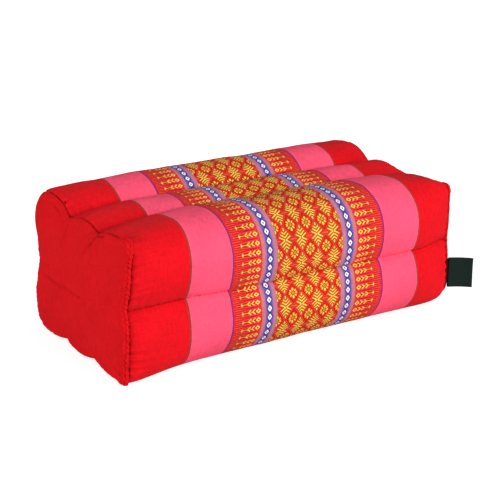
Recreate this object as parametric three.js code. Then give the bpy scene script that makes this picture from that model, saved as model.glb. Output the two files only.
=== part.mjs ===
// A firm meditation cushion: a block of packed fibre in a woven wrap.
//
// One length of cloth goes round the filling and is sewn through in six channels,
// two along the top, two along the bottom and one along each side, which leaves
// six long rolls. A plain panel closes each end, and the seam round it stands up
// as a pinched ridge. A blank woven tag is caught in the right-hand end seam.
//
// Sizes are in millimetres. X runs along the cushion, Y from front to back and Z up.
// The origin is the middle of the base, on the flat of the middle roll.
import * as THREE from 'three';

// Driving sizes
const LENGTH = 350; // between the two end seams, at mid height
const HEIGHT = 131.5; // at the crest of the front roll, which the back one overtops
const SIDE_CHANNEL_HEIGHT = 67; // the channels in the front and the back
const CHANNEL_REACH = 32; // how far a channel draws in the cloth beside it
const CROWN = 6; // how far each end swells past its seam
const PANEL_THICKNESS = 1.8; // cloth of an end panel with its backing
const CLEARANCE = 0.3; // left between neighbouring pieces

// How finely the skin is divided
const MIDDLE_ROLL_STEPS = 6;
const CORNER_ROLL_STEPS = 14;
const LENGTH_STEPS = 34;
const CAP_RINGS = [0.28, 0.55, 0.8];

// The cross-section at places along the cushion. A row gives the plain outline that
// the channels are then sunk into: it is boxy at the ends, where the panels hold the
// corners out, and round where only the filling shapes it. The left half is slimmer
// beside its seam than the right half.
//   x             place along the cushion
//   half          half the width
//   top, bottom   heights of the outline, below the floor where the filling spreads
//   backRoll      how much higher the fuller upper roll at the back stands
//   topRound      radius of the long upper corners, and bottomRound of the lower ones
//   ear           how far the upper corners are pulled out by the seam
//   channel       depth of the channels
//   back, front   the places of the top channels
const SECTION_COLUMNS = [
  'x', 'half', 'top', 'bottom', 'backRoll', 'topRound', 'bottomRound', 'ear', 'channel', 'back', 'front',
];
const SECTIONS = [
  [-175, 88.0, 124.0, 2.6, 3, 9, 15, 6.0, 5.5, 25, -31],
  [-163, 91.5, 128.0, 0.4, 5, 19, 24, 1.5, 8.0, 26, -28],
  [-122, 96.5, 131.0, -1.6, 6, 32, 38, 0.0, 7.0, 27, -23],
  [-75, 100.5, 131.5, -2.0, 7, 37, 45, 0.0, 6.5, 27, -21],
  [75, 101.5, 131.5, -2.0, 8, 38, 46, 0.0, 6.5, 27, -21],
  [130, 101.0, 130.5, -1.8, 9, 35, 42, 0.0, 7.0, 27, -22],
  [163, 92.0, 127.0, 0.4, 10, 19, 24, 1.0, 6.5, 27, -24],
  [175, 85.5, 122.5, 2.6, 10, 9, 15, 3.0, 3.0, 28, -26],
].map((sizes) => Object.fromEntries(sizes.map((size, index) => [SECTION_COLUMNS[index], size])));
const EAR_REACH = 20; // how far round the outline an ear is felt
const LOWER_EAR_SHARE = 0.4; // how much of it the lower corners have

// How far each end seam stands from its even place along X, at its top and its foot:
// the block leans a little, and the middle of the pattern is not quite its own middle
const END_SHIFTS = { left: { top: 1, foot: -7 }, right: { top: -5, foot: -1 } };

// The pinched seam round each end panel, from the panel's face to its underside.
//   inset   how far inside the outline of the end, negative when outside it
//   lift    how far out from the end of the filling
const SEAM_RIDGE = [
  { name: 'face', inset: 3.0, lift: CLEARANCE + PANEL_THICKNESS - 0.4 },
  { name: 'crest', inset: 0.2, lift: CLEARANCE + PANEL_THICKNESS + 1.0 },
  { name: 'lip', inset: -1.8, lift: CLEARANCE + 1.5 },
  { name: 'underside', inset: -1.4, lift: CLEARANCE },
];

// The blank tag, a strip of tape folded double
const TAG = {
  height: 29,
  length: 24,
  thickness: 2,
  foot: 19, // height of its lower edge at the seam
  turn: -0.3, // radians that it turns towards the front
  droop: -0.12, // radians that it hangs below level
  bow: 1.2, // how far its middle curves away from straight
  steps: 6,
};

// Colours
const RED_WRAP = 0xe5202a;
const DEEP_RED_PANEL = 0xc8161f;
const BLACK_GREEN_TAG = 0x16211d;

// The row of sizes at one place along the cushion, on a smooth curve through the table
function sectionAt(x) {
  let after = 1;
  while (after < SECTIONS.length - 1 && SECTIONS[after].x < x) after += 1;
  const row0 = SECTIONS[after - 1];
  const row1 = SECTIONS[after];
  const span = row1.x - row0.x;
  const t = THREE.MathUtils.clamp((x - row0.x) / span, 0, 1);
  const slope = (index, name) => {
    const low = SECTIONS[Math.max(index - 1, 0)];
    const high = SECTIONS[Math.min(index + 1, SECTIONS.length - 1)];
    return (high[name] - low[name]) / (high.x - low.x);
  };
  const row = {};
  for (const name of Object.keys(row0)) {
    const startPull = (t ** 3 - 2 * t ** 2 + t) * span * slope(after - 1, name);
    const endPull = (t ** 3 - t ** 2) * span * slope(after, name);
    const blend = 3 * t ** 2 - 2 * t ** 3;
    row[name] = row0[name] * (1 - blend) + row1[name] * blend + startPull + endPull;
  }
  return row;
}

// How far a channel draws the cloth in at a distance from its stitches
function channelDip(depth, distance) {
  const near = Math.max(1 - distance / CHANNEL_REACH, 0);
  return depth * near * near;
}

// The roll between the two channels of the top or the bottom, from y0 to y1
function middleRoll(row, y0, y1, isTop) {
  const width = Math.abs(y1 - y0);
  const level = isTop ? row.top : row.bottom;
  const inwards = isTop ? -1 : 1;
  return Array.from({ length: MIDDLE_ROLL_STEPS }, (_, step) => {
    const distance = (width * step) / MIDDLE_ROLL_STEPS;
    const nearer = Math.min(distance, width - distance);
    const z = level + inwards * channelDip(row.channel, nearer);
    return { y: THREE.MathUtils.lerp(y0, y1, step / MIDDLE_ROLL_STEPS), z };
  });
}

// The roll round one long corner, from its top or bottom channel to its side channel
function cornerRoll(row, side, isTop) {
  const round = isTop ? row.topRound : row.bottomRound;
  const extra = isTop && side > 0 ? row.backRoll : 0;
  const level = isTop ? row.top + extra : row.bottom;
  const rise = Math.abs(level - SIDE_CHANNEL_HEIGHT);
  const ear = isTop ? row.ear : row.ear * LOWER_EAR_SHARE;
  const channelY = Math.abs(side > 0 ? row.back : row.front);
  const flat = row.half - round - channelY;
  const arc = (round * Math.PI) / 2;
  const drop = rise - round;
  const total = flat + arc + drop;
  return Array.from({ length: CORNER_ROLL_STEPS }, (_, step) => {
    const distance = (total * step) / CORNER_ROLL_STEPS;
    const turn = THREE.MathUtils.clamp((distance - flat) / round, 0, Math.PI / 2);
    const along = Math.min(distance, flat);
    const down = Math.max(distance - flat - arc, 0);
    const nearEar = Math.max(1 - Math.abs(distance - flat - arc / 2) / EAR_REACH, 0);
    const flatDip = channelDip(row.channel + extra, distance);
    const sideDip = channelDip(row.channel, total - distance);
    const push = ear * nearEar * nearEar - flatDip - sideDip;
    const y = channelY + along + (round + push) * Math.sin(turn);
    const height = rise - round - down + (round + push) * Math.cos(turn);
    return { y: side * y, z: SIDE_CHANNEL_HEIGHT + (isTop ? height : -height) };
  });
}

// The same roll followed the other way, from its side channel
function cornerRollBack(row, side, isTop) {
  const forward = cornerRoll(row, side, isTop);
  const sideChannel = { y: side * (row.half - row.channel), z: SIDE_CHANNEL_HEIGHT };
  return [sideChannel, ...forward.slice(1).reverse()];
}

// The closed outline at one place: over the top to the back, and under to the front
function outlineAt(x) {
  const row = sectionAt(x);
  const outline = [
    ...middleRoll(row, row.front, row.back, true),
    ...cornerRoll(row, 1, true),
    ...cornerRollBack(row, 1, false),
    ...middleRoll(row, row.back, row.front, false),
    ...cornerRoll(row, -1, false),
    ...cornerRollBack(row, -1, true),
  ];
  return outline.map((point) => ({ y: point.y, z: Math.max(point.z, 0) }));
}

// How far the skin near an end stands from its even place along X, at a height
function shiftAt(x, z) {
  const { top, foot } = x < 0 ? END_SHIFTS.left : END_SHIFTS.right;
  const endward = Math.abs(x / (LENGTH / 2)) ** 3;
  return endward * THREE.MathUtils.lerp(foot, top, z / HEIGHT);
}

// The outline pushed out by some distance, square to itself
function grownOutline(outline, distance) {
  return outline.map((point, index) => {
    const before = outline[(index + outline.length - 1) % outline.length];
    const after = outline[(index + 1) % outline.length];
    const run = Math.hypot(after.y - before.y, after.z - before.z);
    const y = point.y - (distance * (after.z - before.z)) / run;
    const z = point.z + (distance * (after.y - before.y)) / run;
    return { y, z: Math.max(z, CLEARANCE) };
  });
}

// One ring of points on an end of the cushion. share is 0 at the middle and 1 at the
// seam, and lift is how far out from the filling the ring lies.
function endRing(outline, side, share, lift) {
  const middleZ = SIDE_CHANNEL_HEIGHT;
  return outline.map((point) => {
    const y = point.y * share;
    const z = THREE.MathUtils.lerp(middleZ, point.z, share);
    const seamX = (side * LENGTH) / 2 + shiftAt((side * LENGTH) / 2, z);
    const swell = CROWN * (1 - share * share) + lift;
    return new THREE.Vector3(seamX + side * swell, y, z);
  });
}

// The middle point of an end
function endCentre(side, lift) {
  return endRing([{ y: 0, z: SIDE_CHANNEL_HEIGHT }], side, 0, lift)[0];
}

// A closed skin from one point, through rings of equal length, to another point
function loftedSolid(start, rings, finish) {
  const count = rings[0].length;
  const points = [start, ...rings.flat(), finish];
  const faces = [];
  const indexOf = (ring, step) => 1 + ring * count + (step % count);
  const last = points.length - 1;
  for (let step = 0; step < count; step += 1) {
    faces.push(0, indexOf(0, step), indexOf(0, step + 1));
    for (let ring = 0; ring < rings.length - 1; ring += 1) {
      const near0 = indexOf(ring, step);
      const near1 = indexOf(ring, step + 1);
      const far0 = indexOf(ring + 1, step);
      const far1 = indexOf(ring + 1, step + 1);
      faces.push(near0, far0, far1, near0, far1, near1);
    }
    faces.push(indexOf(rings.length - 1, step), last, indexOf(rings.length - 1, step + 1));
  }
  const geometry = new THREE.BufferGeometry().setFromPoints(points);
  geometry.setIndex(faces);
  geometry.computeVertexNormals();
  return geometry;
}

// The filling with its wrap: rings close together by the seams, wider apart between them
function makeBody() {
  const leftOutline = outlineAt(-LENGTH / 2);
  const rightOutline = outlineAt(LENGTH / 2);
  const leftCap = CAP_RINGS.map((share) => endRing(leftOutline, -1, share, 0));
  const rightCap = CAP_RINGS.map((share) => endRing(rightOutline, 1, share, 0)).reverse();
  const wrap = Array.from({ length: LENGTH_STEPS + 1 }, (_, step) => {
    const even = (2 * step) / LENGTH_STEPS - 1;
    const x = (LENGTH / 2) * (1.25 * even - 0.25 * even ** 3);
    return outlineAt(x).map((point) => (
      new THREE.Vector3(x + shiftAt(x, point.z), point.y, point.z)
    ));
  });
  return loftedSolid(endCentre(-1, 0), [...leftCap, ...wrap, ...rightCap], endCentre(1, 0));
}

// A panel over one end, with the ridge of its seam. Its rings run out across the face,
// over the ridge and back under it, and a right-hand panel takes them in reverse.
function makeEndPanel(side) {
  const outline = outlineAt((side * LENGTH) / 2);
  const faceLift = CLEARANCE + PANEL_THICKNESS;
  const face = CAP_RINGS.map((share) => endRing(outline, side, share, faceLift));
  const ridge = SEAM_RIDGE.map((row) => (
    endRing(grownOutline(outline, -row.inset), side, 1, row.lift)
  ));
  const underSeam = endRing(outline, side, 1, CLEARANCE);
  const under = CAP_RINGS.map((share) => endRing(outline, side, share, CLEARANCE)).reverse();
  const rings = [...face, ...ridge, underSeam, ...under];
  const outer = endCentre(side, faceLift);
  const inner = endCentre(side, CLEARANCE);
  if (side < 0) return loftedSolid(outer, rings, inner);
  return loftedSolid(inner, rings.reverse(), outer);
}

// The tag's outline seen from above, running out along X from its root at the origin
function tagPlan() {
  const half = TAG.thickness / 2;
  const straight = TAG.length - half;
  const curve = (share) => TAG.bow * Math.sin(Math.PI * share);
  const shape = new THREE.Shape();
  shape.moveTo(0, -half);
  for (let step = 1; step <= TAG.steps; step += 1) {
    const share = step / TAG.steps;
    shape.lineTo(straight * share, curve(share) - half);
  }
  shape.lineTo(TAG.length, 0);
  for (let step = TAG.steps; step >= 0; step -= 1) {
    const share = step / TAG.steps;
    shape.lineTo(straight * share, curve(share) + half);
  }
  shape.closePath();
  return shape;
}

// The tag, caught in the right-hand seam and lying just in front of the seam's lip
function makeTag(material) {
  const geometry = new THREE.ExtrudeGeometry(tagPlan(), { depth: TAG.height, bevelEnabled: false });
  const tag = new THREE.Mesh(geometry, material);
  tag.name = 'tag';
  const end = LENGTH / 2;
  const lip = SEAM_RIDGE.find((row) => row.name === 'lip');
  const frontOfLip = -(sectionAt(end).half - lip.inset);
  const seamX = end + shiftAt(end, TAG.foot + TAG.height / 2) + CLEARANCE;
  tag.position.set(seamX, frontOfLip - CLEARANCE - TAG.thickness / 2, TAG.foot);
  tag.rotation.set(0, -TAG.droop, TAG.turn, 'ZYX');
  return tag;
}

function clothMaterial(color, roughness) {
  return new THREE.MeshStandardMaterial({ color, roughness, metalness: 0 });
}

function namedMesh(name, geometry, material) {
  const mesh = new THREE.Mesh(geometry, material);
  mesh.name = name;
  return mesh;
}

const group = new THREE.Group();
group.name = 'meditation_cushion';
group.add(namedMesh('cushion_body', makeBody(), clothMaterial(RED_WRAP, 0.8)));
group.add(namedMesh('end_panel_left', makeEndPanel(-1), clothMaterial(DEEP_RED_PANEL, 0.85)));
group.add(namedMesh('end_panel_right', makeEndPanel(1), clothMaterial(DEEP_RED_PANEL, 0.85)));
group.add(makeTag(clothMaterial(BLACK_GREEN_TAG, 0.7)));

export default group;
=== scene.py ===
# %% [markdown]
# A meditation cushion, dressed step by step.
#
# The cushion is a firm block of packed fibre in one length of woven cloth. The cloth is
# sewn through in six channels, which leaves six long rolls, and a plain panel closes each
# end. This script loads the solid model as a fixed frame and replaces its plain pieces by
# cloth: the wrap with its woven pattern, the two end panels with their pinched seams, the
# stitches in the channels, and the small blank tag.

# %% Load the frame
import math

import bmesh
import bpy
import numpy as np
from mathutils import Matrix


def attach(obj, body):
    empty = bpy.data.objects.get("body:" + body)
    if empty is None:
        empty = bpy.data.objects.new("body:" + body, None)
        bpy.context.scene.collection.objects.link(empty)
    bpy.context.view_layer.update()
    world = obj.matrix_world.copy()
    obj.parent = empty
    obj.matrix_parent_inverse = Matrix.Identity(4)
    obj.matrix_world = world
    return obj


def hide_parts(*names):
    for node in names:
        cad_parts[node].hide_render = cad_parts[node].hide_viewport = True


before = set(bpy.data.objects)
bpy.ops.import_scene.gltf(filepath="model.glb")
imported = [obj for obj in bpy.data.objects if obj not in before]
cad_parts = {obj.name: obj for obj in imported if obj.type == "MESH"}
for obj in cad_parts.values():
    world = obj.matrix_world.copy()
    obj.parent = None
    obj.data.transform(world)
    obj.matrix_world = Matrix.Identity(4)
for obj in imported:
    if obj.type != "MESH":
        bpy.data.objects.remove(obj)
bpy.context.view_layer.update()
MM = 0.001
print("nodes in the frame:", sorted(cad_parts))

# %% [markdown]
# ## The camera
# The picture was taken with a long lens from the front and the left, a little above the
# cushion. Turning a camera that looks along +Y by the azimuth, and tipping it down by the
# elevation, gives the same view. A long lens keeps the far end nearly as big as the near one.

# %% Place the camera
CAMERA_AZIMUTH = -33.4
CAMERA_ELEVATION = 18.06
CAMERA_PLACE = (-605, -916, 422)
SENSOR_WIDTH = 36.0
PHOTO_WIDTH = 500
FOCAL_IN_PIXELS = 1212

bpy.ops.object.camera_add(location=[value * MM for value in CAMERA_PLACE])
camera = bpy.context.object
camera.name = "camera"
camera.rotation_euler = (math.radians(90 - CAMERA_ELEVATION), 0, math.radians(CAMERA_AZIMUTH))
camera.data.sensor_width = SENSOR_WIDTH
camera.data.lens = FOCAL_IN_PIXELS / PHOTO_WIDTH * SENSOR_WIDTH
bpy.context.scene.camera = camera
print("lens:", round(camera.data.lens, 1), "mm")

# %% [markdown]
# ## The shape of the stuffed block
# The wrap's shape is worked out the way the frame's solid was: a short table gives the
# plain outline of the block at places along it, and the channels are then sunk into that
# outline. A cushion is boxy at its ends, where the panels hold the corners out, and round
# between them, where only the filling shapes it.

# %% The table of sections
LENGTH = 350
HEIGHT = 131.5
SIDE_CHANNEL_HEIGHT = 67
CHANNEL_REACH = 32
CROWN = 6
HALF = LENGTH / 2

# the place along the cushion, half the width, the heights of the outline, how much higher
# the back roll stands, the radii of the long corners, how far the seam pulls a corner out,
# the depth of the channels and the places of the top ones
SECTION_NAMES = ("x", "half", "top", "bottom", "back_roll", "top_round", "bottom_round",
                 "ear", "channel", "back", "front", "back_round", "foot_round")
SECTIONS = np.array([
    [-175, 88.0, 124.0, 1.6, 8, 9, 27, 6.0, 5.5, 25, -31, 15, 8],
    [-163, 91.5, 128.0, 0.0, 7, 19, 31, 1.5, 8.0, 26, -28, 22, 14],
    [-122, 96.5, 131.0, -1.6, 6, 32, 38, 0.0, 7.0, 27, -23, 32, 36],
    [-75, 100.5, 131.5, -2.0, 7, 37, 45, 0.0, 6.5, 27, -21, 37, 45],
    [75, 101.5, 131.5, -2.0, 8, 38, 46, 0.0, 6.5, 27, -21, 38, 46],
    [130, 101.0, 130.5, -1.8, 9, 35, 42, 0.0, 7.0, 27, -22, 35, 42],
    [163, 92.0, 127.0, 0.4, 11, 19, 24, 1.0, 6.5, 32, -23, 21, 24],
    [175, 85.5, 122.5, 2.6, 12, 9, 15, 3.0, 3.0, 37, -24, 13, 15],
])
EAR_REACH = 20
LOWER_EAR_SHARE = 0.4
BACK_EAR_SHARE = 0.1
END_SHIFTS = {"left": (1, -7), "right": (-5, -1)}  # at the top and at the foot


def section_at(x):
    """The row of sizes at one place, on a smooth curve through the table."""
    after = min(max(int(np.searchsorted(SECTIONS[:, 0], x)), 1), len(SECTIONS) - 1)
    low, high = SECTIONS[after - 1], SECTIONS[after]
    span = high[0] - low[0]
    t = min(max((x - low[0]) / span, 0), 1)

    def slope(index):
        before = SECTIONS[max(index - 1, 0)]
        beyond = SECTIONS[min(index + 1, len(SECTIONS) - 1)]
        return (beyond - before) / (beyond[0] - before[0])

    blend = 3 * t**2 - 2 * t**3
    start_pull = (t**3 - 2 * t**2 + t) * span * slope(after - 1)
    end_pull = (t**3 - t**2) * span * slope(after)
    return dict(zip(SECTION_NAMES, low * (1 - blend) + high * blend + start_pull + end_pull))


def shift_at(x, z):
    """How far the skin near an end stands from its even place along X."""
    top, foot = END_SHIFTS["left"] if x < 0 else END_SHIFTS["right"]
    return abs(x / HALF) ** 3 * (foot + (top - foot) * z / HEIGHT)


print("width halfway along:", 2 * round(section_at(0)["half"], 1), "mm")

# %% [markdown]
# ## From a flat cloth to a wrapped one
# A place on the cloth is given by two measures: how far along the cushion it is, and how
# far round. Round the cushion come six rolls in turn. Each roll runs from one channel to
# the next, so a place is first put on its roll, then on the plain outline, and then drawn
# in by the channels on either side.

# %% A point of the cloth, round the girth
MIDDLE_ROLL = 49.0
CORNER_ROLL = 125.5
GIRTH = 2 * MIDDLE_ROLL + 4 * CORNER_ROLL
ROLLS = (
    # length, kind, side (1 is the back), whether it is on top, whether it runs inwards
    (MIDDLE_ROLL, "middle", 1, True, False),
    (CORNER_ROLL, "corner", 1, True, False),
    (CORNER_ROLL, "corner", 1, False, True),
    (MIDDLE_ROLL, "middle", -1, False, False),
    (CORNER_ROLL, "corner", -1, False, False),
    (CORNER_ROLL, "corner", -1, True, True),
)
ROLL_STARTS = np.cumsum([0] + [roll[0] for roll in ROLLS])


def channel_dip(depth, distance):
    return depth * max(1 - distance / CHANNEL_REACH, 0) ** 2


def middle_roll_point(row, share, is_top):
    first, last = (row["front"], row["back"]) if is_top else (row["back"], row["front"])
    width = abs(last - first)
    nearer = min(share, 1 - share) * width
    level = row["top"] if is_top else row["bottom"]
    dip = channel_dip(row["channel"], nearer)
    return first + (last - first) * share, level - dip if is_top else level + dip


def corner_roll_point(row, share, side, is_top):
    if is_top:
        round_size = row["back_round" if side > 0 else "top_round"]
    else:
        round_size = row["bottom_round" if side > 0 else "foot_round"]
    extra = row["back_roll"] if is_top and side > 0 else 0
    level = row["top"] + extra if is_top else row["bottom"]
    rise = abs(level - SIDE_CHANNEL_HEIGHT)
    ear = row["ear"] * ((BACK_EAR_SHARE if side > 0 else 1) if is_top else LOWER_EAR_SHARE)
    channel_y = abs(row["back"] if side > 0 else row["front"])
    flat = row["half"] - round_size - channel_y
    arc = round_size * math.pi / 2
    total = flat + arc + rise - round_size
    distance = total * share
    turn = min(max((distance - flat) / round_size, 0), math.pi / 2)
    down = max(distance - flat - arc, 0)
    near_ear = max(1 - abs(distance - flat - arc / 2) / EAR_REACH, 0)
    dips = channel_dip(row["channel"] + extra, distance) + channel_dip(row["channel"], total - distance)
    push = ear * near_ear**2 - dips
    y = channel_y + min(distance, flat) + (round_size + push) * math.sin(turn)
    height = rise - round_size - down + (round_size + push) * math.cos(turn)
    return side * y, SIDE_CHANNEL_HEIGHT + (height if is_top else -height)


def wrapped_point(row, girth):
    """Where a place on the cloth lies, from the row of sizes there and how far round it is."""
    index = min(int(np.searchsorted(ROLL_STARTS, girth, side="right")) - 1, len(ROLLS) - 1)
    length, kind, side, is_top, inwards = ROLLS[index]
    share = (girth - ROLL_STARTS[index]) / length
    if inwards:
        share = 1 - share
    if kind == "middle":
        y, z = middle_roll_point(row, share, is_top)
    else:
        y, z = corner_roll_point(row, share, side, is_top)
    return y, max(z, 0)


print("girth of the block:", GIRTH, "mm in", len(ROLLS), "rolls")

# %% [markdown]
# The channels draw some of the cloth in, so the rows of its pattern crowd together towards
# each channel. The length of cloth that a channel takes up is greatest right at the stitches
# and dies away over a few millimetres.

# %% How much cloth the channels take up
TAKE_UP = 6.7
TAKE_UP_REACH = 8.0
CLOTH_GIRTH = GIRTH + 2 * TAKE_UP * len(ROLLS)


def cloth_round(girth):
    """How far round the flat cloth a place lies, from how far round the block it lies."""
    nearest = int(np.argmin(np.abs(ROLL_STARTS - girth)))
    gap = girth - ROLL_STARTS[nearest]
    drawn = TAKE_UP * (1 - math.exp(-abs(gap) / TAKE_UP_REACH))
    return girth + 2 * TAKE_UP * nearest + math.copysign(drawn, gap)


BLOCK_STEPS = np.linspace(0, GIRTH, 2401)
CLOTH_STEPS = np.array([cloth_round(step) for step in BLOCK_STEPS])
print("girth of the flat cloth:", round(CLOTH_GIRTH, 1), "mm")

# %% [markdown]
# The wrap starts as a flat grid, like the cloth on the cutting table. Its UV map is laid
# out at the same time, so the woven pattern stays on the cloth however it is wrapped. The
# grid is finer towards the ends, where the seams gather it.

# %% Lay out the flat cloth
STEPS_ALONG = 44
STEPS_PER_ROLL = {"middle": 10, "corner": 25}
ROLL_STEPS = [STEPS_PER_ROLL[roll[1]] for roll in ROLLS]
STEPS_ROUND = sum(ROLL_STEPS)
STEP_STARTS = np.cumsum([0] + ROLL_STEPS)
END_CROWDING = 0.3
CLOTH_DRIFT = 3.8
DRIFT_REACH = 122.0
WELD_DISTANCE = 0.01


def girth_at(share):
    """How far round a step lies, with the steps of each roll even, so channels fall on a step."""
    return float(np.interp(share * STEPS_ROUND, STEP_STARTS, ROLL_STARTS))


def cloth_along(x):
    """How far along the flat cloth a place lies: the middle of the cloth sits a little off."""
    return x + CLOTH_DRIFT * max(1 - (x / DRIFT_REACH) ** 2, 0)


def deselect_all():
    if bpy.context.object and bpy.context.object.mode != "OBJECT":
        bpy.ops.object.mode_set(mode="OBJECT")
    bpy.ops.object.select_all(action="DESELECT")


def station(share):
    """How far along the cloth a share of its steps lies, closer together near the ends."""
    even = 2 * share - 1
    return HALF * ((1 + END_CROWDING) * even - END_CROWDING * even**3)


deselect_all()
bpy.ops.mesh.primitive_grid_add(
    x_subdivisions=STEPS_ALONG, y_subdivisions=STEPS_ROUND, size=1, calc_uvs=True
)
wrap = bpy.context.object
wrap.name = "cushion_wrap"
wrap.data.uv_layers[0].name = "cloth"
flat_places = np.array([vertex.co for vertex in wrap.data.vertices]) + 0.5
print("flat cloth:", len(flat_places), "crossings")

# %% Wrap it round the filling and sew it into a tube
rows_by_step = {}
for vertex, (along, around, _) in zip(wrap.data.vertices, flat_places):
    x = station(along)
    row = rows_by_step.setdefault(round(x, 3), section_at(x))
    y, z = wrapped_point(row, girth_at(around))
    vertex.co = ((x + shift_at(x, z)) * MM, y * MM, z * MM)

for loop, uv in zip(wrap.data.loops, wrap.data.uv_layers["cloth"].data):
    along, around, _ = flat_places[loop.vertex_index]
    uv.uv = (cloth_along(station(along)) / LENGTH + 0.5, cloth_round(girth_at(around)) / CLOTH_GIRTH)

bpy.ops.object.mode_set(mode="EDIT")
bpy.ops.mesh.select_all(action="SELECT")
bpy.ops.mesh.remove_doubles(threshold=WELD_DISTANCE * MM)
bpy.ops.object.mode_set(mode="OBJECT")
print("tube:", len(wrap.data.vertices), "vertices")

# %% [markdown]
# ## Closing the ends
# Each open end is closed by extruding its edge inwards, ring by ring, to a point. The
# rings swell a little towards the middle, because the filling pushes the end out. The
# panels lie over these closed ends, so only the filling is behind them.

# %% Close both ends
CAP_SHARES = (0.97, 0.82, 0.5)
CAP_SINK = -1.3
CROWN_FULLNESS = 2.6


def make_active(piece):
    """Select one piece and no other."""
    deselect_all()
    piece.select_set(True)
    bpy.context.view_layer.objects.active = piece


def edit_only(piece):
    """Select one piece and go into edit mode on it."""
    make_active(piece)
    bpy.ops.object.mode_set(mode="EDIT")
    return bmesh.from_edit_mesh(piece.data)


def face_outwards():
    """Turn the normals of the piece in edit mode outwards, and leave edit mode."""
    bpy.ops.mesh.select_mode(type="VERT")
    bpy.ops.mesh.select_all(action="SELECT")
    bpy.ops.mesh.normals_make_consistent(inside=False)
    bpy.ops.object.mode_set(mode="OBJECT")


def crown_at(share):
    """How far an end swells: quickly near the seam and then gently, like a pillow."""
    return CROWN * (1 - share**CROWN_FULLNESS)


def end_place(side, y, z, share, lift=0.0):
    """A place on an end, in metres, between its middle (share 0) and the seam (share 1)."""
    py = y * share
    pz = SIDE_CHANNEL_HEIGHT + (z - SIDE_CHANNEL_HEIGHT) * share
    swell = crown_at(share) + lift
    return ((side * (HALF + swell) + shift_at(side * HALF, pz)) * MM, py * MM, pz * MM)


def close_end(piece, side):
    mesh = edit_only(piece)
    bpy.ops.mesh.select_mode(type="EDGE")
    bpy.ops.mesh.select_all(action="DESELECT")
    for edge in mesh.edges:
        edge.select_set(edge.is_boundary and edge.verts[0].co.x * side > 0)
    previous = 1.0
    for share in CAP_SHARES:
        bpy.ops.mesh.extrude_edges_move()
        for vertex in bmesh.from_edit_mesh(piece.data).verts:
            if vertex.select:
                y = vertex.co.y / MM / previous
                z = SIDE_CHANNEL_HEIGHT + (vertex.co.z / MM - SIDE_CHANNEL_HEIGHT) / previous
                vertex.co = end_place(side, y, z, share, CAP_SINK)
        previous = share
    bpy.ops.mesh.merge(type="CENTER")
    face_outwards()


for side in (-1, 1):
    close_end(wrap, side)
print("wrap with closed ends:", len(wrap.data.polygons), "faces")

# %% [markdown]
# ## Stuffing
# Cloth over a filling is under pressure from inside, and it is held where it is sewn. The
# cloth simulation does just that: the channels, the end seams and the part that rests on
# the floor are pinned, and a pressure blows the cloth out between them. How far a point may
# move is capped, so the cushion keeps its measured size.

# %% Pin the sewn lines and blow the rolls out
STUFFING_PRESSURE = 4.0
LAST_FRAME = 20
FURTHEST_SWELL = 2.5
HELD_MARGIN = 0.5
HELD_HEIGHT = 0.4
HELD_PAST_SEAM = 2
BLOCK_ALONG = np.linspace(-HALF, HALF, 1401)
CLOTH_ALONG = np.array([cloth_along(x) for x in BLOCK_ALONG])


def cloth_places(piece):
    """How far along and how far round each point of the cloth is, in mm, from its UV map."""
    count = len(piece.data.loops)
    uvs = np.empty(count * 2)
    piece.data.uv_layers["cloth"].data.foreach_get("uv", uvs)
    corners = np.empty(count, dtype=int)
    piece.data.loops.foreach_get("vertex_index", corners)
    places = np.zeros((len(piece.data.vertices), 2))
    places[corners] = uvs.reshape(-1, 2)
    along = np.interp((places[:, 0] - 0.5) * LENGTH, CLOTH_ALONG, BLOCK_ALONG)
    return along, np.interp(places[:, 1] * CLOTH_GIRTH, CLOTH_STEPS, BLOCK_STEPS)


def vertex_array(piece, key="co"):
    values = np.empty(len(piece.data.vertices) * 3)
    piece.data.vertices.foreach_get(key, values)
    return values.reshape(-1, 3)


def set_vertices(piece, values):
    piece.data.vertices.foreach_set("co", np.ascontiguousarray(values).ravel())
    piece.data.update()


def to_nearest_channel(around):
    """How far round a point is from the nearest of the six channels."""
    gaps = np.abs(around[:, None] - ROLL_STARTS[None, :])
    return gaps.min(axis=1)


def stuff(piece):
    along, around = cloth_places(piece)
    before = vertex_array(piece)
    held = (to_nearest_channel(around) < HELD_MARGIN) | (np.abs(along) > HALF - HELD_MARGIN)
    held |= before[:, 2] < HELD_HEIGHT * MM
    held |= np.abs(before[:, 0]) > (HALF + HELD_PAST_SEAM) * MM
    pins = piece.vertex_groups.new(name="sewn")
    pins.add([int(index) for index in np.nonzero(held)[0]], 1.0, "REPLACE")
    cloth = piece.modifiers.new("stuffing", "CLOTH")
    cloth.settings.use_pressure = True
    cloth.settings.uniform_pressure_force = STUFFING_PRESSURE
    cloth.settings.effector_weights.gravity = 0
    cloth.settings.vertex_group_mass = "sewn"
    cloth.collision_settings.use_collision = False
    cloth.point_cache.frame_end = LAST_FRAME
    for frame_number in range(1, LAST_FRAME + 1):
        bpy.context.scene.frame_set(frame_number)
    make_active(piece)
    bpy.ops.object.modifier_apply(modifier=cloth.name)
    bpy.context.scene.frame_set(1)
    move = vertex_array(piece) - before
    size = np.linalg.norm(move, axis=1, keepdims=True)
    move *= np.minimum(1, FURTHEST_SWELL * MM / np.maximum(size, 1e-9))
    set_vertices(piece, before + move)
    piece.vertex_groups.clear()
    return size.max() / MM


print("furthest swell before the cap:", round(stuff(wrap), 1), "mm")

# %% [markdown]
# Two rounds of subdivision then turn the coarse cloth into a fine one, with the UV map left
# straight, so the woven threads stay even.

# %% Make the cloth fine
def finish_with(piece, kind, **settings):
    """Add one modifier with its settings and apply it."""
    make_active(piece)
    modifier = piece.modifiers.new(kind.lower(), kind)
    for name, value in settings.items():
        setattr(modifier, name, value)
    bpy.ops.object.modifier_apply(modifier=modifier.name)


def subdivide(piece, rounds):
    finish_with(piece, "SUBSURF", levels=rounds, render_levels=rounds, uv_smooth="NONE")


subdivide(wrap, 2)
print("fine wrap:", len(wrap.data.polygons), "faces")

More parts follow.
